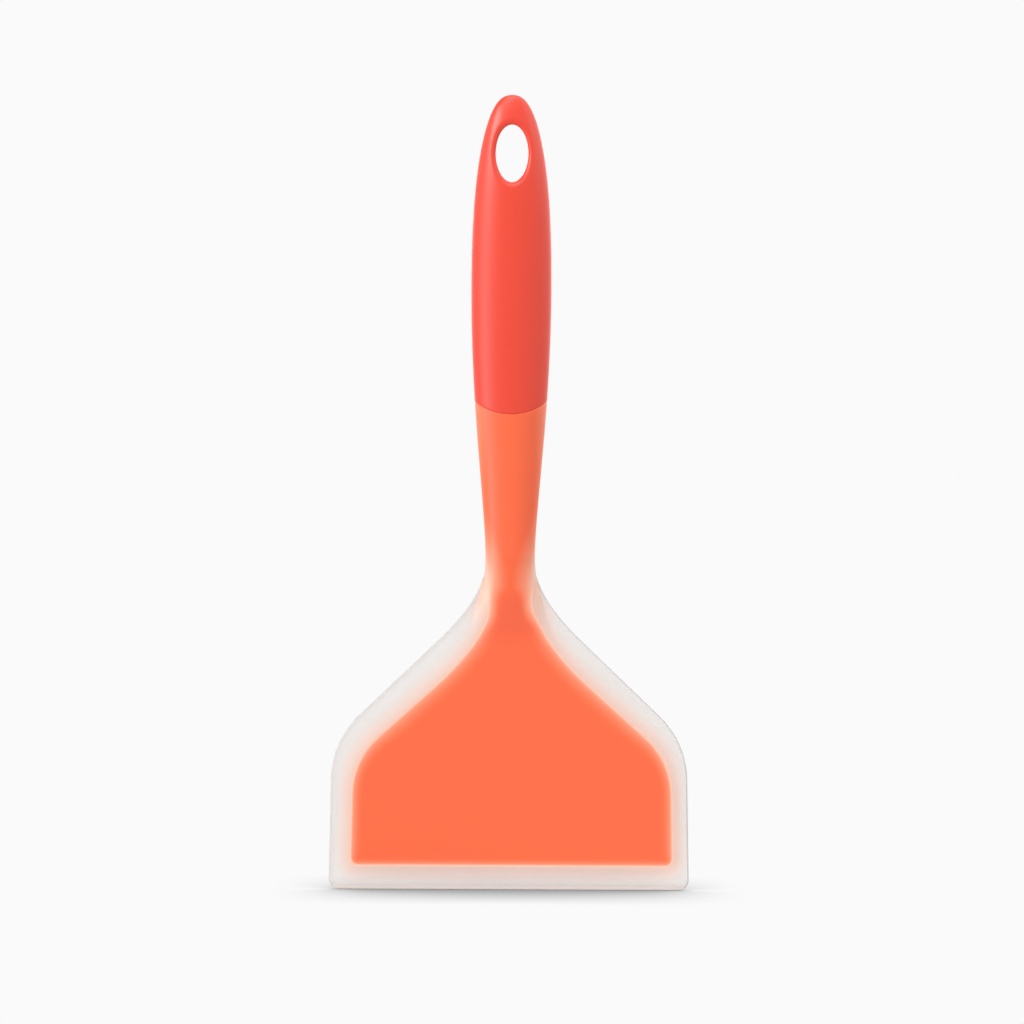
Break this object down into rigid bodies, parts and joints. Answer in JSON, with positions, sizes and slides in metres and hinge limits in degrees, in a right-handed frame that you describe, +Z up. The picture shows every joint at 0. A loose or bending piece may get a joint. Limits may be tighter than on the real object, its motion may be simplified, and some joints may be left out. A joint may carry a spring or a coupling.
{
  "type": "silicone spatula",
  "caption": "Wide flat turner with a stiff core plate in a soft see-through silicone jacket, a slim neck and a smooth moulded grip with an oval hanging hole.",
  "frame": {"origin": "middle of the blade's front edge, the flat land that scrapes the pan", "axes": "+Z up along the blade towards the grip, +X across the blade, and the front faces -Y, towards which the handle leans"},
  "size_m": [0.136, 0.0395, 0.3001],
  "materials": {
    "core_nylon": "satin orange nylon, seen through the jacket",
    "clear_silicone": "milky see-through silicone with a satin surface",
    "grip_silicone": "satin red, soft to the touch"
  },
  "bodies": {
    "root": {"nylon_core": "core_nylon", "silicone_jacket": "clear_silicone", "handle_grip": "grip_silicone"}
  },
  "joints": []
}
